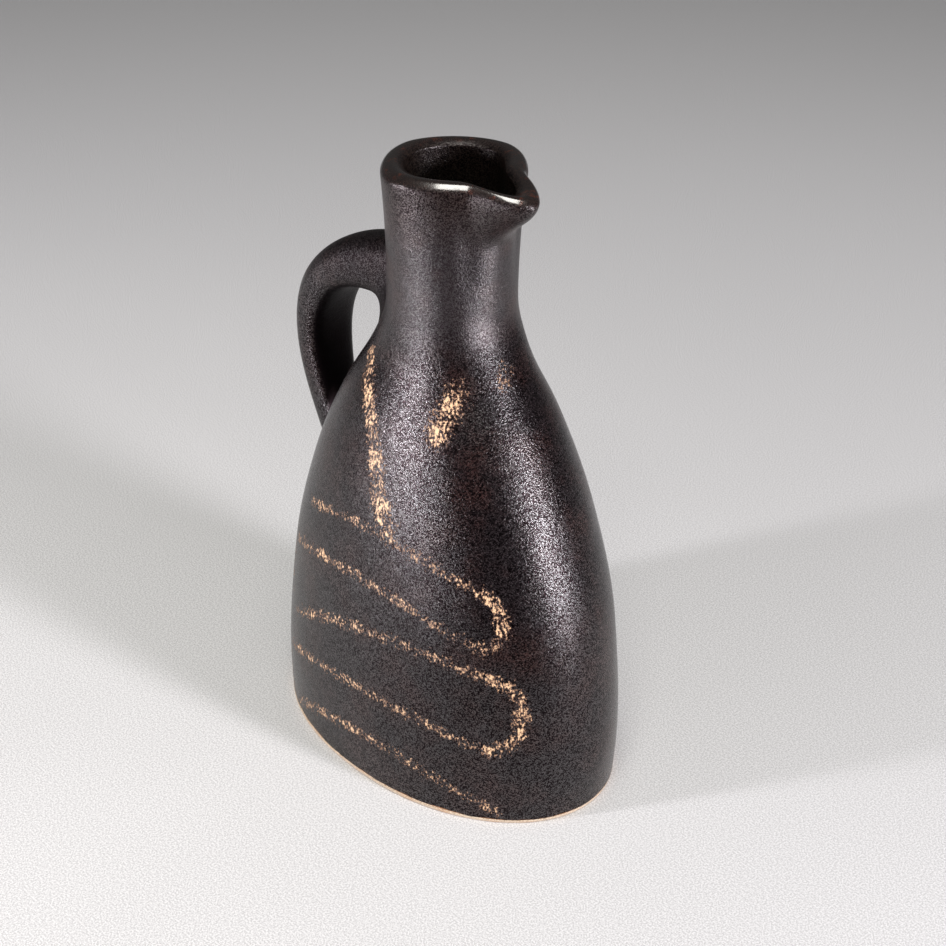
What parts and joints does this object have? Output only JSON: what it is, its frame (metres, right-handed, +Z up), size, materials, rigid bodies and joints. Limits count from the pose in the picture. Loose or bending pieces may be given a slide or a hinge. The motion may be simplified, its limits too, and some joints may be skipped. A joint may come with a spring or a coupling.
{
  "type": "jug",
  "caption": "Small oval stoneware jug with a round neck, a pinched pouring lip and a pulled strap handle, in a dark satin glaze.",
  "frame": {"origin": "middle of the foot's flat underside", "axes": "+Z up the neck, +X to the pouring lip with the handle on -X, +Y across the narrow side"},
  "size_m": [0.1106, 0.069, 0.1595],
  "materials": {
    "dark_glaze": "satin charcoal brown stoneware glaze, finely pebbled, breaking to rust on the rim, with worn cream lines",
    "bare_clay": "unglazed pale stoneware"
  },
  "bodies": {
    "root": {"foot_slab": "bare_clay", "belly_wall": "dark_glaze", "shoulder_wall": "dark_glaze", "neck_collar": "dark_glaze", "pouring_lip": "dark_glaze", "handle_strap": "dark_glaze", "upper_handle_coil": "dark_glaze", "lower_handle_coil": "dark_glaze"}
  },
  "joints": []
}
